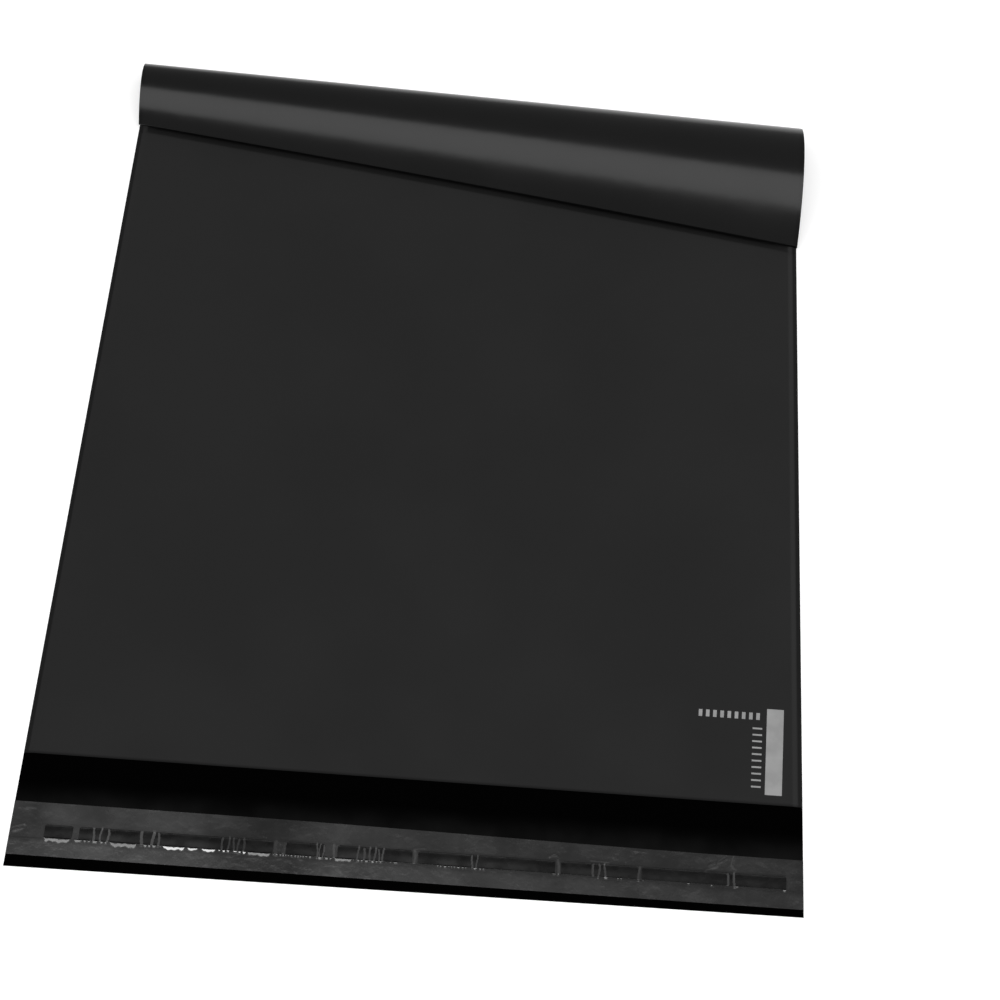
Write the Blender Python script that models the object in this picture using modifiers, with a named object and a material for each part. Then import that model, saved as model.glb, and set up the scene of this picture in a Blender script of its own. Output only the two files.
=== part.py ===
"""Poly mailer bag, lying flat with its closed end curled forward over itself.

The bag is one web of film: a back panel that runs on into the closing flap, and a
front panel welded to it down both sides. A glue strip and its release liner lie on
the flap. Metres, +Z up, +Y from the flap to the closed end.
"""
import math

import bmesh
import bpy
from mathutils import Vector

# Flat size of the bag
BAG_WIDTH = 0.254
BODY_LENGTH = 0.330
FLAP_LENGTH = 0.0376
END_SKEW = 0.005  # the closed end runs out of square by this much from side to side

# Section of the film
FILM = 0.00006
POCKET_GAP = 0.0002
BAG_THICKNESS = 2 * FILM + POCKET_GAP
WELD_WIDTH = 0.003

# The curl starts at a slanting line, measured from the mouth along each side
LIFT_LEFT = 0.2832
LIFT_RIGHT = 0.2627
CURL_TURN = math.radians(231.4)
EVEN_SHARE = 0.28  # share of the turn that is spread evenly along the curl
TIGHTNESS = 3.2  # how early the rest of the turn comes
CURL_ROWS = 36
PROFILE_STEPS = 20  # steps of the curve between two rows

# Glue strip and release liner on the flap, from its free edge
GAP = 0.0003
LINER_START = 0.0028
LINER_WIDTH = 0.0178
LINER_THICKNESS = 0.00005
GLUE_START = 0.0091
GLUE_WIDTH = 0.0045
GLUE_THICKNESS = 0.00015
GLUE_INSET_LEFT = 0.011
GLUE_INSET_RIGHT = 0.0054
LINER_RAMP = 0.0008

CUT_MARGIN = 0.002

FILM_BLACK = (0.021, 0.021, 0.021, 1.0)
LINER_GREY = (0.045, 0.045, 0.046, 1.0)
GLUE_DARK = (0.008, 0.008, 0.008, 1.0)


def curl_profile():
    """Points (along, up, turn) of a curl of unit length, one for each row."""
    steps = CURL_ROWS * PROFILE_STEPS
    along, up = 0.0, 0.0
    points = [(along, up, 0.0)]
    for step in range(steps):
        middle = turn_at((step + 0.5) / steps)
        along += math.cos(middle) / steps
        up += math.sin(middle) / steps
        if (step + 1) % PROFILE_STEPS == 0:
            points.append((along, up, turn_at((step + 1) / steps)))
    return points


def turn_at(share):
    """Angle that the film has turned through after a share of the curl's length."""
    late = 1 - (1 - share) ** TIGHTNESS
    return CURL_TURN * (EVEN_SHARE * share + (1 - EVEN_SHARE) * late)


PROFILE = curl_profile()
LIFT_SLOPE = (LIFT_RIGHT - LIFT_LEFT) / BAG_WIDTH
CURL_SLOPE = END_SKEW / BAG_WIDTH - LIFT_SLOPE


def lift_line(x):
    """Distance from the mouth at which the film leaves the table."""
    return (LIFT_LEFT + LIFT_RIGHT) / 2 + LIFT_SLOPE * x


def curl_length(x):
    """Length of film beyond the lift line."""
    return BODY_LENGTH + END_SKEW * x / BAG_WIDTH - lift_line(x)


def curl_point(x, row, height):
    """Point of the curl at one row, a height above the back panel's outer face."""
    along, up, turn = PROFILE[row]
    length = curl_length(x)
    base = Vector((x, FLAP_LENGTH + lift_line(x) + length * along, length * up))
    sideways = (LIFT_SLOPE + CURL_SLOPE * along) * math.sin(turn) - CURL_SLOPE * up * math.cos(turn)
    normal = Vector((sideways, -math.sin(turn), math.cos(turn))).normalized()
    return base + height * normal


def bag_depth():
    """Distance from the flap's free edge to the back of the curl."""
    sides = (-BAG_WIDTH / 2, BAG_WIDTH / 2)
    return max(curl_point(x, row, 0).y for x in sides for row in range(CURL_ROWS + 1))


def collection(name):
    group = bpy.data.collections.new(name)
    bpy.context.scene.collection.children.link(group)
    return group


def material(name, colour, roughness):
    made = bpy.data.materials.new(name)
    made.use_nodes = True
    shader = made.node_tree.nodes["Principled BSDF"]
    shader.inputs["Base Color"].default_value = colour
    shader.inputs["Roughness"].default_value = roughness
    return made


def add_object(name, mesh, group, centre_y):
    made = bpy.data.objects.new(name, mesh)
    made.location.y = -centre_y
    group.objects.link(made)
    return made


def sheet_mesh(name, columns, rows, place):
    """Grid whose corners are put where place(column, row) says."""
    grid = bmesh.new()
    bmesh.ops.create_grid(grid, x_segments=columns, y_segments=rows, size=1)
    for corner in grid.verts:
        column = round((corner.co.x + 1) / 2 * columns)
        row = round((corner.co.y + 1) / 2 * rows)
        corner.co = place(column, row)
    mesh = bpy.data.meshes.new(name)
    grid.to_mesh(mesh)
    grid.free()
    return mesh


def thicken(piece, thickness):
    """Thickness added on the side that the sheet faces."""
    solid = piece.modifiers.new("Thickness", "SOLIDIFY")
    solid.thickness = thickness
    solid.offset = 1
    solid.use_even_offset = True


def as_cutter(piece):
    piece.hide_render = True
    piece.display_type = "WIRE"


def cut(piece, cutter):
    boolean = piece.modifiers.new(cutter.name, "BOOLEAN")
    boolean.operation = "DIFFERENCE"
    boolean.solver = "EXACT"
    boolean.object = cutter


def web_mesh(name, half_width, front, rows, height):
    """Flat film from the front edge to the lift line, then the curl's rows."""

    def place(column, row):
        x = (2 * column - 1) * half_width
        if row == 0:
            return Vector((x, front, height))
        return curl_point(x, row - 1, height)

    return sheet_mesh(name, 1, rows + 1, place)


def build_film(parts, cutters, centre_y):
    half = BAG_WIDTH / 2
    film = add_object("film_bag", web_mesh("film_bag", half, 0, CURL_ROWS, 0), parts, centre_y)
    thicken(film, BAG_THICKNESS)

    # The pocket stops a row short of the closed end, where the web is folded.
    pocket_mesh = web_mesh(
        "pocket", half - WELD_WIDTH, FLAP_LENGTH - CUT_MARGIN, CURL_ROWS - 1, FILM
    )
    pocket = add_object("pocket_cutter", pocket_mesh, cutters, centre_y)
    thicken(pocket, POCKET_GAP)
    as_cutter(pocket)

    # Over the flap there is only the back panel.
    size = Vector((BAG_WIDTH + 2 * CUT_MARGIN, FLAP_LENGTH + CUT_MARGIN, 2 * CUT_MARGIN))
    middle = Vector((0, FLAP_LENGTH / 2 - CUT_MARGIN / 2, FILM + CUT_MARGIN))
    over_flap = add_object("flap_cutter", box_mesh("flap_cutter", size, middle), cutters, centre_y)
    as_cutter(over_flap)

    cut(film, pocket)
    cut(film, over_flap)
    film.data.materials.append(material("black_film", FILM_BLACK, 0.45))


def box_mesh(name, size, middle):
    box = bmesh.new()
    bmesh.ops.create_cube(box, size=1)
    bmesh.ops.scale(box, vec=size, verts=box.verts)
    bmesh.ops.translate(box, vec=middle, verts=box.verts)
    mesh = bpy.data.meshes.new(name)
    box.to_mesh(mesh)
    box.free()
    return mesh


def build_glue(parts, centre_y):
    left = -BAG_WIDTH / 2 + GLUE_INSET_LEFT
    right = BAG_WIDTH / 2 - GLUE_INSET_RIGHT
    size = Vector((right - left, GLUE_WIDTH, GLUE_THICKNESS))
    middle = Vector(
        ((left + right) / 2, GLUE_START + GLUE_WIDTH / 2, FILM + GAP + GLUE_THICKNESS / 2)
    )
    glue = add_object("glue_strip", box_mesh("glue_strip", size, middle), parts, centre_y)
    glue.data.materials.append(material("hot_melt_glue", GLUE_DARK, 0.3))


def build_liner(parts, centre_y):
    """Strip that lies on the flap and steps up over the glue."""
    low = FILM + GAP
    high = low + GLUE_THICKNESS + GAP
    glue_end = GLUE_START + GLUE_WIDTH
    section = [
        (LINER_START, low),
        (GLUE_START - LINER_RAMP, low),
        (GLUE_START - GAP, high),
        (glue_end + GAP, high),
        (glue_end + LINER_RAMP, low),
        (LINER_START + LINER_WIDTH, low),
    ]

    def place(column, row):
        return Vector(((column - 0.5) * BAG_WIDTH, *section[row]))

    mesh = sheet_mesh("release_liner", 1, len(section) - 1, place)
    liner = add_object("release_liner", mesh, parts, centre_y)
    thicken(liner, LINER_THICKNESS)
    liner.data.materials.append(material("release_film", LINER_GREY, 0.35))


def main():
    for old in list(bpy.data.objects):
        bpy.data.objects.remove(old, do_unlink=True)
    parts = collection("poly_mailer_bag")
    cutters = collection("cutters")
    centre_y = bag_depth() / 2
    build_film(parts, cutters, centre_y)
    build_glue(parts, centre_y)
    build_liner(parts, centre_y)


main()
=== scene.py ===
"""Looks of the poly mailer bag: the film, the glue strip, the release liner, the print and the studio."""
import math

import bmesh
import bpy
import numpy as np
from mathutils import Euler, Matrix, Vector, noise


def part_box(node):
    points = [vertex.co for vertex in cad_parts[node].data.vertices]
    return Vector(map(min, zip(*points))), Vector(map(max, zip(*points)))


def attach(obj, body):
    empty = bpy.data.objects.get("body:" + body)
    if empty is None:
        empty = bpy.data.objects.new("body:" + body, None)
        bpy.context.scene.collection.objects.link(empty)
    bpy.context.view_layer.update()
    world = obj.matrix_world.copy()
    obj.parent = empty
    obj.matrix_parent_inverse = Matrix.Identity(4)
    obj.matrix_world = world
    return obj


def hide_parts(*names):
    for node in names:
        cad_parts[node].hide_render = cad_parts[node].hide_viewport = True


MM = 0.001

# The bag's sizes, as in the solids
BAG_WIDTH = 0.254
BODY_LENGTH = 0.330
FLAP_LENGTH = 0.0376
END_SKEW = 0.005
FILM = 0.00006
BAG_THICKNESS = 0.00032
LIFT_LEFT = 0.2832
LIFT_RIGHT = 0.2627
CURL_TURN = math.radians(231.4)
EVEN_SHARE = 0.28
TIGHTNESS = 3.2
CURL_STEPS = 720

# How the curl departs from the even roll of the solids, at the left and at the right side:
# its root's shift, and the growth of its back and of its last stretch before the lip
ROOT_SHIFT = (-0.00255, 0.00257)
BACK = (0.287, 0.64)
BACK_GROWTH = (0.855, 1.129)
LIP_START = 0.825
LIP_GROWTH = (0.91, 1.2)

LINER_START = 0.0028
LINER_WIDTH = 0.0178
GLUE_START = 0.0091
GLUE_WIDTH = 0.0045
GLUE_THICKNESS = 0.00015
GLUE_INSET_LEFT = 0.011
GLUE_INSET_RIGHT = 0.0054

# The side welds: the melted strip, and the slope beside it down from the full thickness
SEAL_WIDTH = 0.0015
SLOPE_END = 0.0034

# Rows and columns of the meshes. The film has one row less round its curl, because the
# curl's first row is the flat stretch's last.
FLAT_ROWS = 60
CURL_ROWS = 70
FOLD_STEPS = 4
FRONT_ROWS = 130
SIDE_COLUMNS = 21
MIDDLE_COLUMNS = 78
GLUE_COLUMNS = 200
GLUE_ROWS = 9
LINER_COLUMNS = 1400

# The glue's rounded edge, and the distances that keep the liner and the ink off the film
CROWN_EDGE = 0.0006
LINER_LIFT = 0.00006
INK_LIFT = 0.00002

# The liner, in millimetres. Distances along it start at the glue's left end, and
# distances across it at the flap's free edge.
GLUE_LENGTH = (BAG_WIDTH - GLUE_INSET_LEFT - GLUE_INSET_RIGHT) / MM
BLOCK_LOW = 9.1
BLOCK_HIGH = 13.5
BLOCK_CORNER = 0.7
BLOCKS = (
    (0, 9.2), (11.1, 73.2), (77.3, 89.8), (93.7, 117.7), (119.6, 163.5), (165.3, 189.9), (191, 237.6),
)
# Pleats across the blocks: place and half width
PLEATS = (
    (15.9, 0.35), (18.2, 0.3), (20.5, 0.4), (31.2, 0.5), (34.8, 0.5), (36.6, 0.35), (57, 0.35),
    (59, 0.3), (60.6, 0.35), (62.1, 0.35), (63.8, 0.35), (74.1, 0.5), (76.7, 0.5), (87.3, 0.25),
    (88.2, 0.2), (89.3, 0.25), (92.7, 0.4), (100.4, 0.3), (102.3, 0.35), (104.2, 0.35), (105.8, 0.3),
    (107.1, 0.25), (108.4, 0.3), (118.4, 0.4), (136.9, 0.3), (138.4, 0.2), (164.4, 0.4), (175.6, 0.4),
    (177.5, 0.35), (179.4, 0.35), (190.3, 0.3), (218.7, 0.4), (220.8, 0.4),
)
# Where the glue has crept out from under the liner's pressed strip and shines: start, end,
# width, and the spacing of its drops, which is 0 where it is one line
SEEPS = (
    (0.2, 8.6, 1.4, 0), (9.8, 12.5, 0.6, 0), (12.8, 20.8, 0.7, 1.9), (21.3, 29.8, 1.5, 0),
    (30.6, 37.8, 0.7, 1.7), (38.2, 45.2, 1.2, 0), (46, 49.4, 0.8, 0), (50.6, 55, 0.9, 0),
    (55.8, 65, 0.55, 1.75), (65.3, 72.6, 1.1, 0), (72.8, 86.4, 0.45, 0.95), (87, 92.4, 0.6, 1.6),
    (93, 98.6, 0.9, 0), (98.8, 109.8, 0.55, 1.55),
    (110.6, 115.4, 0.3, 2.3), (125, 136, 0.35, 1.1), (136.4, 141.6, 0.35, 1.5), (161, 165, 0.35, 1.9),
    (178.8, 180.6, 0.5, 0), (182.6, 186, 0.25, 1.1), (191.2, 192.2, 0.4, 0), (205.6, 206.8, 0.35, 0),
    (212.6, 215, 0.25, 1.2), (221, 222.4, 0.4, 0), (236.3, 237.6, 0.7, 0),
)
# Painted highlight: the stretch along the glue, in millimetres, where the shining glue takes a more
# reflective copy of its material, so its glints come out brightest.
BRIGHT_GLINT_STRETCH = (38, 65.2)
# Kinds of the liner's faces, in the order of its materials
LOOSE, BONDED, CREST, SLOPE, RIM, SEEP, BRIGHT_GLINT_SEEP = range(7)
# Least width of glue that shines
SEEP_LEAST = 0.12
# The slope's width where no glue has crept out, the height of the strip over the glue, the
# rise of its pleats and creases, and the creases' half width
STEEP = 0.35
MOUND = 0.22
PLEAT_RISE = 0.13
CREASE_RISE = 0.1
CREASE_WIDTH = 0.45
CREASES = (
    ((211.6, 13.9), (215.2, 15.6), (215.7, 17.1), (218.3, 19.2)),
    ((212.4, 15.2), (214.6, 16.6)),
    ((220.6, 19.4), (219.8, 16.4), (221.2, 14.6)),
    ((187.8, 19.8), (192.4, 19.6)),
    ((161.5, 14.6), (163, 15.6), (164.3, 14.8)),
    ((174.6, 14.3), (180.4, 14.1)),
    ((118.2, 14), (121.6, 14.4)),
    ((-9, 18.6), (-4, 18.9)),
    ((-10, 12.2), (-6.4, 13.4)),
    ((-9.8, 11), (-7, 12)),
)

# Where the liner's tone changes from left to right, in metres from the bag's middle: the end of
# its dark left end, the start and the end of its darker stretch, and where its crumples and its
# bonded strip fade. The last one runs across the liner, in metres from the flap's free edge.
DARK_END = (-0.121, -0.112)
DARKER_START = (-0.07, -0.052)
DARKER_END = (-0.038, -0.026)
CRUMPLES_FADE = (-0.02, 0.05)
BONDED_FADE = (0.02, 0.07)
BONDED_UPPER_FADE = (0.0103, 0.0124)

# How the flap is cut: its free edge in the middle, and the slope to the right
CUT_MIDDLE = -0.00025
CUT_SLOPE = 0.0057

LIFT_SLOPE = (LIFT_RIGHT - LIFT_LEFT) / BAG_WIDTH
CURL_SLOPE = END_SKEW / BAG_WIDTH - LIFT_SLOPE


def turn_at(share):
    """Angle that the film has turned through after a share of the curl's length."""
    return CURL_TURN * (EVEN_SHARE * share + (1 - EVEN_SHARE) * (1 - (1 - share) ** TIGHTNESS))


def curl_profile():
    """Shares of the curl's length, and the way along and up that the even part, the back and
    the lip of the unit curl have gone by each of them."""
    edges = np.linspace(0, 1, CURL_STEPS + 1)
    middles = (edges[1:] + edges[:-1]) / 2
    turns = turn_at(middles)
    back = (middles > BACK[0]) & (middles < BACK[1])
    lip = middles > LIP_START
    ways = []
    for part in (~back & ~lip, back, lip):
        steps = np.stack([part * np.cos(turns), part * np.sin(turns)]) / CURL_STEPS
        ways.append(np.concatenate([np.zeros((2, 1)), np.cumsum(steps, axis=1)], axis=1))
    return edges, ways


PROFILE = curl_profile()


def across_bag(x, sides):
    """Value at x, on the straight line between the values at the left and the right side."""
    left, right = sides
    return left + (right - left) * (x / BAG_WIDTH + 0.5)


def lift_line(x):
    """Distance from the mouth at which the film of the solids leaves the table."""
    return across_bag(x, (LIFT_LEFT, LIFT_RIGHT))


def curl_length(x):
    """Length of film beyond the lift line."""
    return BODY_LENGTH + END_SKEW * x / BAG_WIDTH - lift_line(x)


def bag_point(x, station, start, height):
    """Point of the bag. Stations from -1 to 0 run flat from start to the lift line, and
    from 0 to 1 round the curl. Height is measured from the back panel's outer face."""
    lift = FLAP_LENGTH + lift_line(x) + across_bag(x, ROOT_SHIFT)
    if station <= 0:
        return np.array([x, lift + station * (lift - start), height])
    edges, ways = PROFILE
    growths = (1, across_bag(x, BACK_GROWTH), across_bag(x, LIP_GROWTH))
    along = sum(growth * np.interp(station, edges, way[0]) for growth, way in zip(growths, ways))
    up = sum(growth * np.interp(station, edges, way[1]) for growth, way in zip(growths, ways))
    turn = turn_at(station)
    length = curl_length(x)
    sideways = (LIFT_SLOPE + CURL_SLOPE * along) * math.sin(turn) - CURL_SLOPE * up * math.cos(turn)
    normal = np.array([sideways, -math.sin(turn), math.cos(turn)])
    normal /= np.linalg.norm(normal)
    return np.array([x, lift + length * along, length * up]) + height * normal


def sheet_mesh(name, points):
    """Grid through an array of points (rows, columns, 3), with a hard edge all round."""
    rows, columns = points.shape[:2]
    grid = bmesh.new()
    bmesh.ops.create_grid(grid, x_segments=columns - 1, y_segments=rows - 1, size=1)
    for corner in grid.verts:
        column = round((corner.co.x + 1) / 2 * (columns - 1))
        row = round((corner.co.y + 1) / 2 * (rows - 1))
        corner.co = points[row, column]
    for face in grid.faces:
        face.smooth = True
    for edge in grid.edges:
        edge.smooth = not edge.is_boundary
    mesh = bpy.data.meshes.new(name)
    grid.to_mesh(mesh)
    grid.free()
    return mesh


def add_piece(name, mesh, node=None):
    """Object that rides on the bag's one body, in the bag's own coordinates."""
    piece = bpy.data.objects.new(name, mesh)
    piece.location.y = FRONT_EDGE
    bpy.context.scene.collection.objects.link(piece)
    bpy.context.view_layer.update()
    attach(piece, "root")
    if node:
        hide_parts(node)
    return piece


# Materials

FILM_SHINE = 0.28
LIP_SHADE_WIDTH = 0.0012


class Surface:
    """Principled material, and the node fields that its inputs are worked out from."""

    def __init__(self, name, level, roughness, specular):
        self.made = bpy.data.materials.new(name)
        self.made.use_nodes = True
        self.tree = self.made.node_tree
        self.shader = self.tree.nodes["Principled BSDF"]
        self.shader.inputs["Base Color"].default_value = (level, level, level, 1)
        self.shader.inputs["Roughness"].default_value = roughness
        self.shader.inputs["Specular IOR Level"].default_value = specular
        self.place = self.tree.nodes.new("ShaderNodeTexCoord").outputs["Object"]

    def spread(self, value, low, high, first=0.0, last=1.0):
        """Smooth step from first, where the value is low, to last, where it is high."""
        step = self.tree.nodes.new("ShaderNodeMapRange")
        step.interpolation_type = "SMOOTHSTEP"
        self.tree.links.new(value, step.inputs["Value"])
        step.inputs["From Min"].default_value = low
        step.inputs["From Max"].default_value = high
        step.inputs["To Min"].default_value = first
        step.inputs["To Max"].default_value = last
        return step.outputs["Result"]

    def cloud(self, scale, detail=3.0, stretch=(1, 1, 1)):
        """Noise over the piece, in features of one metre divided by the scale."""
        shape = self.tree.nodes.new("ShaderNodeMapping")
        shape.inputs["Scale"].default_value = stretch
        self.tree.links.new(self.place, shape.inputs["Vector"])
        cloud = self.tree.nodes.new("ShaderNodeTexNoise")
        cloud.inputs["Scale"].default_value = scale
        cloud.inputs["Detail"].default_value = detail
        self.tree.links.new(shape.outputs["Vector"], cloud.inputs["Vector"])
        return cloud.outputs["Fac"]

    def axis(self, letter, both_sides=False):
        """The piece's own coordinate, or its distance from the middle."""
        parts = self.tree.nodes.new("ShaderNodeSeparateXYZ")
        self.tree.links.new(self.place, parts.inputs["Vector"])
        if not both_sides:
            return parts.outputs[letter]
        size = self.tree.nodes.new("ShaderNodeMath")
        size.operation = "ABSOLUTE"
        self.tree.links.new(parts.outputs[letter], size.inputs[0])
        return size.outputs["Value"]

    def mix(self, share, first, second, blend="MIX"):
        """Mix of two greys, or of sockets, by the share."""
        mixer = self.tree.nodes.new("ShaderNodeMix")
        mixer.data_type = "RGBA"
        mixer.blend_type = blend
        if isinstance(share, float):
            mixer.inputs[0].default_value = share
        else:
            self.tree.links.new(share, mixer.inputs[0])
        for socket, value in ((mixer.inputs[6], first), (mixer.inputs[7], second)):
            if isinstance(value, float):
                socket.default_value = (value, value, value, 1)
            else:
                self.tree.links.new(value, socket)
        return mixer.outputs[2]

    def colour(self, value):
        self.tree.links.new(value, self.shader.inputs["Base Color"])

    def roughness(self, value):
        self.tree.links.new(value, self.shader.inputs["Roughness"])

    def bump(self, height, distance):
        bump = self.tree.nodes.new("ShaderNodeBump")
        bump.inputs["Strength"].default_value = 1
        bump.inputs["Distance"].default_value = distance
        self.tree.links.new(height, bump.inputs["Height"])
        self.tree.links.new(bump.outputs["Normal"], self.shader.inputs["Normal"])


def film_outside(name, level, smoothest, roughest, front_edge=0.0):
    """Black film: even, with faint clouds, darker at the melted sides, which is partly painted edge shade,
    and with painted shade at its front edge.
    """
    film = Surface(name, level, roughest, FILM_SHINE)
    clouds = film.spread(film.cloud(14), 0.38, 0.62)
    colour = film.mix(clouds, 0.92 * level, 1.05 * level)
    half = BAG_WIDTH / 2
    from_middle = film.axis("X", both_sides=True)
    # Partly painted shade: the melted strip at each side is darkened, and this also stands for the shade
    # along the bag's edges.
    seal_and_edge_shade = film.spread(from_middle, half - 1.15 * SEAL_WIDTH, half - 0.75 * SEAL_WIDTH)
    colour = film.mix(seal_and_edge_shade, colour, 0.2 * level)
    # Painted shade: the film darkens over its last stretch before the front edge, standing for the shade
    # along that edge.
    lip = film.spread(film.axis("Y"), front_edge, front_edge + LIP_SHADE_WIDTH, 1.0, 0.0)
    film.colour(film.mix(lip, colour, 0.1 * level))
    film.roughness(film.spread(film.cloud(30), 0.3, 0.7, smoothest, roughest))
    film.bump(film.cloud(110, 2), 0.00005)
    return film


def film_front():
    """The front panel's film, with the mouth as its front edge."""
    return film_outside("film_front", 0.0112, 0.22, 0.26, FLAP_LENGTH).made


def film_back_shaded():
    """The back panel's film, which is also the outside of the roll: the same film as the front panel's, with
    a darker colour that is painted shade for the roll.
    """
    return film_outside("film_back_shaded", 0.0028, 0.19, 0.23).made


def film_inside():
    """The film's inner face: dull and near black, with a painted sheen that makes it a little greyer next to
    the liner.
    """
    film = Surface("film_inside", 0.0008, 0.6, 0.0)
    liner_end = LINER_START + LINER_WIDTH
    # Painted sheen: a greyer band on the inner face just past the liner's upper edge, broken into patches by
    # clouds.
    near = film.spread(film.axis("Y"), liner_end - 0.001, liner_end + 0.0085, 1.0, 0.0)
    sheen_patches = film.spread(film.cloud(45), 0.3, 0.7, 0.35, 1.0)
    near = film.mix(sheen_patches, 0.0, near)
    past = film.spread(film.axis("Y"), liner_end - 0.003, liner_end - 0.002)
    film.colour(film.mix(film.mix(past, 0.0, near), 0.0007, 0.0068))
    film.roughness(film.spread(film.cloud(60), 0.3, 0.7, 0.5, 0.7))
    return film.made


# The film


def web_rows():
    """Stations along the web: the back panel out to the closed end, and the front panel back."""
    flap_and_back = [(station, True, 0.0) for station in np.linspace(-1, 0, FLAT_ROWS)]
    curl = np.linspace(0, 1, CURL_ROWS)[1:]
    outside = [(station, True, 0.0) for station in curl]
    fold = [(1, False, math.pi * step / FOLD_STEPS) for step in range(1, FOLD_STEPS)]
    inside = [(station, False, math.pi) for station in curl[::-1][::2]]
    front = [(station, False, math.pi) for station in np.linspace(0, -1, FRONT_ROWS)]
    return flap_and_back + outside + fold + inside + front


def pocket_height(x):
    """Height of the front panel's outer face, which drops where the sides are welded."""
    edge = BAG_WIDTH / 2 - abs(x)
    share = min(max((edge - SEAL_WIDTH) / (SLOPE_END - SEAL_WIDTH), 0), 1)
    share = share * share * (3 - 2 * share)
    return 2 * FILM + share * (BAG_THICKNESS - 2 * FILM)


def film_columns():
    half = BAG_WIDTH / 2
    side = np.linspace(0, 2 * SLOPE_END, SIDE_COLUMNS)
    middle = np.linspace(-half + 2 * SLOPE_END, half - 2 * SLOPE_END, MIDDLE_COLUMNS)[1:-1]
    return np.concatenate([side - half, middle, (half - side)[::-1]])


def build_film():
    columns = film_columns()
    points = []
    for station, from_free_edge, fold in web_rows():
        row = []
        for x in columns:
            start = CUT_MIDDLE + CUT_SLOPE * x if from_free_edge else FLAP_LENGTH
            height = pocket_height(x) * (1 - math.cos(fold)) / 2
            row.append(bag_point(x, station, start, height))
        points.append(row)
    mesh = sheet_mesh("film", np.array(points))
    mesh.flip_normals()
    film = add_piece("film", mesh, "film_bag")
    solid = film.modifiers.new("Film", "SOLIDIFY")
    solid.thickness = FILM
    solid.offset = -1
    solid.material_offset = 1
    inside = film_inside()
    for coat in (film_back_shaded(), inside, film_front(), inside):
        mesh.materials.append(coat)
    back_rows = FLAT_ROWS + CURL_ROWS - 1
    back_faces = back_rows * (len(columns) - 1)
    for face in mesh.polygons:
        face.material_index = 0 if face.index < back_faces else 2
    return film


# The glue strip and its liner


def build_glue():
    left = -BAG_WIDTH / 2 + GLUE_INSET_LEFT
    right = BAG_WIDTH / 2 - GLUE_INSET_RIGHT
    xs = np.linspace(left, right, GLUE_COLUMNS)
    ys = np.linspace(GLUE_START, GLUE_START + GLUE_WIDTH, GLUE_ROWS)
    points = np.array([[[x, y, FILM + glue_height(y)] for x in xs] for y in ys])
    glue = add_piece("glue", sheet_mesh("glue", points), "glue_strip")
    bead = Surface("glue", 0.008, 0.3, 0.5)
    bead.colour(bead.mix(bead.spread(bead.cloud(200), 0.3, 0.7), 0.005, 0.011))
    bead.bump(bead.cloud(400), 0.0001)
    glue.data.materials.append(bead.made)


def glue_height(y):
    """The bead's crown: round at both edges and flat in the middle."""
    edge = min(y - GLUE_START, GLUE_START + GLUE_WIDTH - y)
    share = min(max(edge / CROWN_EDGE, 0), 1)
    return GLUE_THICKNESS * math.sqrt(1 - (1 - share) ** 2)


def smooth(value):
    """Smooth step from 0 to 1."""
    value = np.clip(value, 0, 1)
    return value * value * (3 - 2 * value)


def block_depth(along, across):
    """Depth inside the blocks where the liner sticks flat to the glue, less than 0 outside."""
    middle = (BLOCK_LOW + BLOCK_HIGH) / 2
    half = (BLOCK_HIGH - BLOCK_LOW) / 2
    depth = np.full(along.shape, -10.0)
    teeth = 0.3 * np.sin(5.3 * along) * np.sin(1.9 * along + 1) + 0.2 * np.sin(9.1 * along + 2)
    for start, end in BLOCKS:
        over = np.abs(along - (start + end) / 2) - (end - start) / 2 + BLOCK_CORNER
        up = np.abs(across - middle) - half + BLOCK_CORNER + np.where(across < middle, teeth, 0)
        round_corner = np.hypot(np.maximum(over, 0), np.maximum(up, 0))
        straight = np.minimum(np.maximum(over, up), 0)
        depth = np.maximum(depth, BLOCK_CORNER - round_corner - straight)
    return depth


def pleat_closeness(along, across):
    """1 on the crest of a pleat, falling to 0 beside it and beyond its ends."""
    closeness = np.zeros(along.shape)
    for number, (place, half) in enumerate(PLEATS):
        bend = 0.2 * np.sin(0.8 * across + 2.4 * number)
        low = BLOCK_LOW - 0.5 - 0.3 * math.sin(3 * number)
        high = BLOCK_HIGH + 0.7 + 0.5 * math.sin(2 * number)
        ends = smooth((across - low) / 0.6) * smooth((high - across) / 0.9)
        closeness = np.maximum(closeness, ends * np.exp(-(((along - place - bend) / half) ** 4)))
    return closeness


def crease_closeness(along, across):
    """1 on the lines of the creases, falling to 0 beside them."""
    closeness = np.zeros(along.shape)
    for line in CREASES:
        for (start_x, start_y), (end_x, end_y) in zip(line, line[1:]):
            length = math.hypot(end_x - start_x, end_y - start_y)
            ahead = ((along - start_x) * (end_x - start_x) + (across - start_y) * (end_y - start_y)) / length
            beside = ((across - start_y) * (end_x - start_x) - (along - start_x) * (end_y - start_y)) / length
            past = ahead - np.clip(ahead, 0, length)
            nearness = np.exp(-((beside / CREASE_WIDTH) ** 2) - (past / CREASE_WIDTH) ** 2)
            closeness = np.maximum(closeness, nearness)
    return closeness


def seep_width(along):
    """Width of the shining glue below the blocks, for places along it."""
    width = np.zeros(along.shape)
    for number, (start, end, widest, spacing) in enumerate(SEEPS):
        taper = np.sqrt(smooth((along - start) / 0.9) * smooth((end - along) / 0.9))
        ripple = 0.75 + 0.25 * np.sin(2.1 * along + number) * np.sin(0.9 * along + 2 * number)
        here = widest * taper * ripple
        if spacing:
            drops = np.cos(2 * math.pi * (along - start) / spacing + 1.2 * np.sin(1.3 * along))
            here = here * smooth(0.4 + 0.9 * drops)
        width = np.maximum(width, here)
    return width


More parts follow.
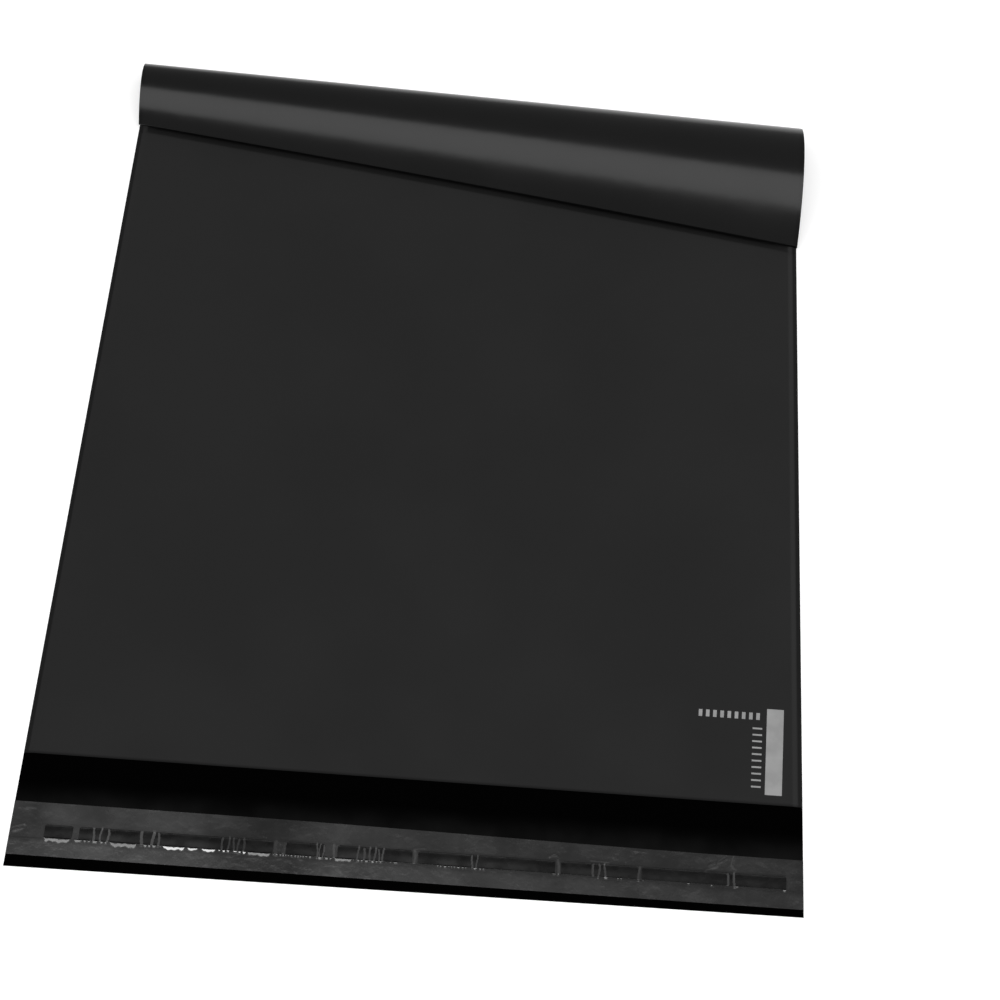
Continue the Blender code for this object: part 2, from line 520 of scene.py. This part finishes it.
def liner_height(along, across):
    """Height of the liner above the flap, in millimetres."""
    width = STEEP + seep_width(along)
    ends = smooth((along + 0.8) / 1.2) * smooth((GLUE_LENGTH + 0.8 - along) / 1.2)
    mound = smooth((across - BLOCK_LOW + width) / width) * smooth((BLOCK_HIGH + 0.7 - across) / 0.7)
    height = MOUND * mound * ends
    height -= 0.05 * smooth(block_depth(along, across) / 0.4)
    height += PLEAT_RISE * pleat_closeness(along, across)
    return height + CREASE_RISE * crease_closeness(along, across)


def slow_waves(along, across):
    """The liner's slow rise and fall, of about 0.1 mm."""
    places = zip(along.flat, across.flat)
    waves = [0.05 * (1 + noise.fractal(Vector((a, b, 0)) * 0.15, 1, 2, 3)) for a, b in places]
    return np.array(waves).reshape(along.shape)


def liner_rows():
    """Distances across the liner, close together at both edges of the glue."""
    low = LINER_START / MM
    high = low + LINER_WIDTH / MM
    bands = ((low, 7.2, 9), (7.2, 9.4, 20), (9.4, 13.1, 10), (13.1, 14.5, 9), (14.5, high, 14))
    rows = [np.linspace(start, end, count, endpoint=False) for start, end, count in bands]
    return np.concatenate(rows + [[high]])


def build_liner():
    xs = np.linspace(-BAG_WIDTH / 2, BAG_WIDTH / 2, LINER_COLUMNS)
    left = -BAG_WIDTH / 2 + GLUE_INSET_LEFT
    along, across = np.meshgrid((xs - left) / MM, liner_rows())
    # The strip lies a little further up the flap at the left, and its upper edge runs in to the right
    upper = smooth((across - BLOCK_HIGH - 1) / (across.max() - BLOCK_HIGH - 1))
    lower = smooth((BLOCK_LOW - 1 - across) / (BLOCK_LOW - 1 - across.min()))
    shift = 0.2 * lower + upper * (0.35 - 1.5 * smooth((xs / MM + 60) / 170))
    height = (FILM + LINER_LIFT) / MM + liner_height(along, across)
    height += slow_waves(along, across)
    points = np.stack([along * MM + left, (across + shift) * MM, height * MM], axis=2)
    mesh = sheet_mesh("liner", points)
    liner = add_piece("liner", mesh, "release_liner")
    for coat in (liner_loose(), liner_bonded(), liner_crest(), liner_slope(), liner_rim()):
        mesh.materials.append(coat)
    for coat in (liner_seep("liner_seep", 1.75), liner_seep("liner_seep_bright_glint", 3)):
        mesh.materials.append(coat)
    centres = np.array([face.center for face in mesh.polygons])
    along = (centres[:, 0] - left) / MM
    across = centres[:, 1] / MM
    kind = np.where(block_depth(along, across) > 0, BONDED, LOOSE)
    kind = np.where(np.abs(across - BLOCK_LOW + STEEP / 2) < STEEP / 2 + 0.1, SLOPE, kind)
    width = seep_width(along)
    seeping = width > SEEP_LEAST
    kind = np.where(seeping & (np.abs(across - BLOCK_LOW - 0.2) < 0.25), RIM, kind)
    pale_crests = (pleat_closeness(along, across) > 0.5) | (crease_closeness(along, across) > 0.85)
    kind = np.where(pale_crests, CREST, kind)
    # Painted highlight: seeping faces in the brightest stretch take the more reflective copy.
    wet = np.where((along > BRIGHT_GLINT_STRETCH[0]) & (along < BRIGHT_GLINT_STRETCH[1]), BRIGHT_GLINT_SEEP, SEEP)
    kind = np.where(seeping & (across < BLOCK_LOW) & (across > BLOCK_LOW - width), wet, kind)
    mesh.polygons.foreach_set("material_index", kind.astype(np.int32))


def liner_shade(liner):
    """Share of the tone that stays in the darker stretches: the left end, and left of the middle."""
    end = liner.spread(liner.axis("X"), *DARK_END, 0.6, 1.0)
    fall = liner.spread(liner.axis("X"), *DARKER_START, 1.0, 0.4)
    rise = liner.spread(liner.axis("X"), *DARKER_END, 0.4, 1.0)
    return liner.mix(1.0, end, liner.mix(1.0, fall, rise, "LIGHTEN"), "MULTIPLY")


def liner_tone(liner, left, right):
    """Cloudy grey that fades from the left to the right."""
    half = BAG_WIDTH / 2
    tone = liner.mix(liner.spread(liner.axis("X"), -half, half), left, right)
    tone = liner.mix(1.0, tone, liner_shade(liner), "MULTIPLY")
    clouds = liner.spread(liner.cloud(70, 4), 0.32, 0.68)
    tone = liner.mix(clouds, tone, liner.mix(1.0, tone, 0.66, "MULTIPLY"))
    streaks = liner.spread(liner.cloud(110, 2, (1, 0.12, 1)), 0.5, 0.75)
    return liner.mix(streaks, tone, liner.mix(1.0, tone, 1.35, "MULTIPLY"))


def liner_loose():
    liner = Surface("liner_loose", 0.03, 0.25, 0.35)
    tone = liner_tone(liner, 0.036, 0.013)
    below = liner.spread(liner.axis("Y"), (BLOCK_LOW - 2.2) * MM, (BLOCK_LOW - 0.6) * MM, 1.0, 0.0)
    liner.colour(liner.mix(below, tone, liner.mix(1.0, tone, 1.6, "MULTIPLY")))
    liner.roughness(liner.spread(liner.cloud(90), 0.3, 0.7, 0.18, 0.34))
    crumpled = liner.mix(liner.spread(liner.axis("X"), *CRUMPLES_FADE, 1.0, 0.0), 0.0, below)
    liner.bump(liner.mix(crumpled, liner.cloud(260, 4), liner.cloud(430, 6)), 0.0003)
    return liner.made


def liner_bonded():
    """The liner where it lies flat on the black glue, darkest at the upper edge."""
    liner = Surface("liner_bonded", 0.008, 0.3, 0.18)
    low = liner.spread(liner.axis("Y"), *BONDED_UPPER_FADE, 1.0, 0.0)
    patches = liner.spread(liner.cloud(160, 4), 0.3, 0.7, 0.3, 1.0)
    tone = liner.mix(liner.mix(patches, 0.0, low), 0.0022, 0.021)
    rim = liner.spread(liner.axis("Y"), BLOCK_LOW * MM + 0.0001, BLOCK_LOW * MM + 0.0006, 1.0, 0.0)
    shade = liner_shade(liner)
    fade = liner.mix(1.0, shade, liner.spread(liner.axis("X"), *BONDED_FADE, 1.0, 0.4), "MULTIPLY")
    liner.colour(liner.mix(rim, liner.mix(1.0, tone, fade, "MULTIPLY"), 0.002))
    liner.roughness(liner.spread(liner.cloud(150), 0.3, 0.7, 0.22, 0.4))
    liner.bump(liner.cloud(500, 3), 0.0001)
    return liner.made


def liner_crest():
    """The crests of pleats and creases, paler than the rest of the liner."""
    liner = Surface("liner_crest", 0.05, 0.22, 0.4)
    liner.colour(liner_tone(liner, 0.062, 0.034))
    liner.bump(liner.cloud(500, 3), 0.0001)
    return liner.made


def liner_rim():
    """The dark line between the bonded liner and the glue that has crept out."""
    liner = Surface("liner_rim", 0.001, 0.6, 0.03)
    liner.colour(liner.mix(liner.spread(liner.cloud(400), 0.3, 0.7), 0.0006, 0.003))
    liner.bump(liner.cloud(500, 3), 0.0001)
    return liner.made


def liner_slope():
    """The liner's slope down from the glue, dull where no glue has crept out."""
    liner = Surface("liner_slope", 0.02, 0.5, 0.15)
    liner.colour(liner_tone(liner, 0.034, 0.014))
    liner.bump(liner.cloud(500, 3), 0.0001)
    return liner.made


def liner_seep(name, density):
    """The slope of glue below the blocks, glossy as if wet. The second copy reflects more, as painted
    highlight where the glints are brightest.
    """
    liner = Surface(name, 0.05, 0.12, 0.5)
    liner.shader.inputs["IOR"].default_value = density
    liner.colour(liner.mix(liner.spread(liner.cloud(300), 0.3, 0.7), 0.02, 0.06))
    liner.bump(liner.cloud(700, 3), 0.00008)
    return liner.made


# The print, in millimetres: a block, and plain ticks and dashes beside it. The block is given
# by its left, right, lower and upper edges and its lean.
PRINT_BLOCK = (114.6, 120.2, 41.0, 71.6, 0.9)
TICKS = 10
TICK_SPACING = 2.3
TICK_LEFT = 110.1
TICK_LOW = 43.3
TICK_LENGTH = 3.2
TICK_WIDTH = 0.6
TICK_DRIFT = 0.06
DASHES = 9
DASH_SPACING = 2.4
DASH_LEFT = 92.6
DASH_LENGTH = 1.2
DASH_LOW = 67.4
DASH_HIGH = 69.9
DASH_LEAN = 0.1


def build_print():
    lift = BAG_THICKNESS + INK_LIFT
    ink = Surface("ink", 0.29, 0.5, 0.2)
    ink.colour(ink.mix(ink.spread(ink.cloud(180, 4), 0.3, 0.7), 0.26, 0.31))
    ink.bump(ink.cloud(600, 2), 0.00003)

    def field(name, areas):
        """Flat patches of ink, each from left to right and from low to high, in millimetres,
        with its upper end shifted to the right by the lean."""
        mesh = bpy.data.meshes.new(name)
        patches = bmesh.new()
        for left, right, low, high, lean in areas:
            corners = [(left, low), (right, low), (right + lean, high), (left + lean, high)]
            patches.faces.new([patches.verts.new((x * MM, y * MM, lift)) for x, y in corners])
        patches.to_mesh(mesh)
        patches.free()
        mesh.materials.append(ink.made)
        add_piece(name, mesh)

    field("print_block", [PRINT_BLOCK])
    ticks = []
    for step in range(TICKS):
        left = TICK_LEFT + TICK_DRIFT * step
        low = TICK_LOW + TICK_SPACING * step
        ticks.append((left, left + TICK_LENGTH, low, low + TICK_WIDTH, 0))
    field("print_ticks", ticks)
    dashes = []
    for step in range(DASHES):
        left = DASH_LEFT + DASH_SPACING * step
        dashes.append((left, left + DASH_LENGTH, DASH_LOW, DASH_HIGH, DASH_LEAN))
    field("print_dashes", dashes)


# The studio

FLOOR_REACH = 30
FLOOR_DROP = 0.0001
# What the camera and mirror rays see of the floor: its own light near the bag and far from it
FLOOR_NEAR = (0.7, 0.35)
FLOOR_FAR = (2.5, 0.65)
LIGHT_HEIGHT = 1.3
SKY_LEVEL = 0.42
HORIZON_LEVEL = 1.0
HORIZON_BAND = (0.03, 0.14)
SENSOR_WIDTH = 36
FOCAL_LENGTH = 75.6
CAMERA_PLACE = (0.01893, -0.21745, 0.64101)
CAMERA_TURN = (29.366, -2.202, 3.454)


def build_floor():
    mesh = bpy.data.meshes.new("floor")
    plane = bmesh.new()
    bmesh.ops.create_grid(plane, x_segments=1, y_segments=1, size=FLOOR_REACH)
    plane.to_mesh(mesh)
    plane.free()
    floor = bpy.data.objects.new("floor", mesh)
    floor.location.z = -FLOOR_DROP
    bpy.context.scene.collection.objects.link(floor)
    paint = Surface("floor", 0.85, 0.9, 0.0)
    tree = paint.tree
    path = tree.nodes.new("ShaderNodeLightPath")
    seen = path.outputs["Is Camera Ray"]
    for ray in ("Is Glossy Ray", "Is Transmission Ray"):
        either = tree.nodes.new("ShaderNodeMath")
        either.operation = "MAXIMUM"
        tree.links.new(seen, either.inputs[0])
        tree.links.new(path.outputs[ray], either.inputs[1])
        seen = either.outputs["Value"]
    distance = tree.nodes.new("ShaderNodeVectorMath")
    distance.operation = "LENGTH"
    tree.links.new(paint.place, distance.inputs[0])
    level = tree.nodes.new("ShaderNodeMath")
    level.operation = "MULTIPLY"
    tree.links.new(seen, level.inputs[0])
    near, near_level = FLOOR_NEAR
    far, far_level = FLOOR_FAR
    glow = paint.spread(distance.outputs["Value"], near, far, near_level, far_level)
    tree.links.new(glow, level.inputs[1])
    paint.shader.inputs["Emission Color"].default_value = (1, 1, 1, 1)
    tree.links.new(level.outputs["Value"], paint.shader.inputs["Emission Strength"])
    floor.data.materials.append(paint.made)


def ceiling_light(name, left, right, front, back, radiance):
    """Softbox that hangs level over the table and faces down."""
    lamp = bpy.data.lights.new(name, "AREA")
    lamp.shape = "RECTANGLE"
    lamp.size = right - left
    lamp.size_y = back - front
    lamp.energy = radiance * math.pi * lamp.size * lamp.size_y
    light = bpy.data.objects.new(name, lamp)
    light.location = ((left + right) / 2, (front + back) / 2, LIGHT_HEIGHT)
    bpy.context.scene.collection.objects.link(light)


def build_sky():
    """Even grey light from above, with a paler rim round the horizon."""
    world = bpy.data.worlds.new("studio")
    bpy.context.scene.world = world
    world.use_nodes = True
    tree = world.node_tree
    background = tree.nodes["Background"]
    background.inputs["Color"].default_value = (1, 1, 1, 1)
    parts = tree.nodes.new("ShaderNodeSeparateXYZ")
    tree.links.new(tree.nodes.new("ShaderNodeTexCoord").outputs["Generated"], parts.inputs["Vector"])
    rim = tree.nodes.new("ShaderNodeMapRange")
    rim.interpolation_type = "SMOOTHSTEP"
    tree.links.new(parts.outputs["Z"], rim.inputs["Value"])
    rim.inputs["From Min"].default_value = HORIZON_BAND[0]
    rim.inputs["From Max"].default_value = HORIZON_BAND[1]
    rim.inputs["To Min"].default_value = HORIZON_LEVEL
    rim.inputs["To Max"].default_value = SKY_LEVEL
    tree.links.new(rim.outputs["Result"], background.inputs["Strength"])


def build_lights():
    ceiling_light("front_box", left=-1.0, right=1.0, front=-1.013, back=0.007, radiance=2.6)
    ceiling_light("right_box", left=0.5, right=1.2, front=0.24, back=1.44, radiance=0.42)


def build_camera():
    camera = bpy.data.cameras.new("camera")
    camera.sensor_width = SENSOR_WIDTH
    camera.lens = FOCAL_LENGTH
    seat = bpy.data.objects.new("camera", camera)
    right, from_flap, up = CAMERA_PLACE
    seat.location = (right, FRONT_EDGE + from_flap, up)
    seat.rotation_euler = Euler([math.radians(turn) for turn in CAMERA_TURN])
    bpy.context.scene.collection.objects.link(seat)
    bpy.context.scene.camera = seat


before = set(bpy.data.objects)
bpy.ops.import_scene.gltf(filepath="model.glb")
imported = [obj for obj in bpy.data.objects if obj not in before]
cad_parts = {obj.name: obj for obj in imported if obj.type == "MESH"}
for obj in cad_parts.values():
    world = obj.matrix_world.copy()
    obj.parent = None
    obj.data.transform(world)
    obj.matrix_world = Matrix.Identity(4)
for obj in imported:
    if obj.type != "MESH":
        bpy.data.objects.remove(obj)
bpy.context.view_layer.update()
FRONT_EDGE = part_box("film_bag")[0][1]

bpy.context.scene.view_settings.view_transform = "Standard"
build_camera()
build_lights()
build_sky()
build_floor()
build_film()
build_glue()
build_liner()
build_print()
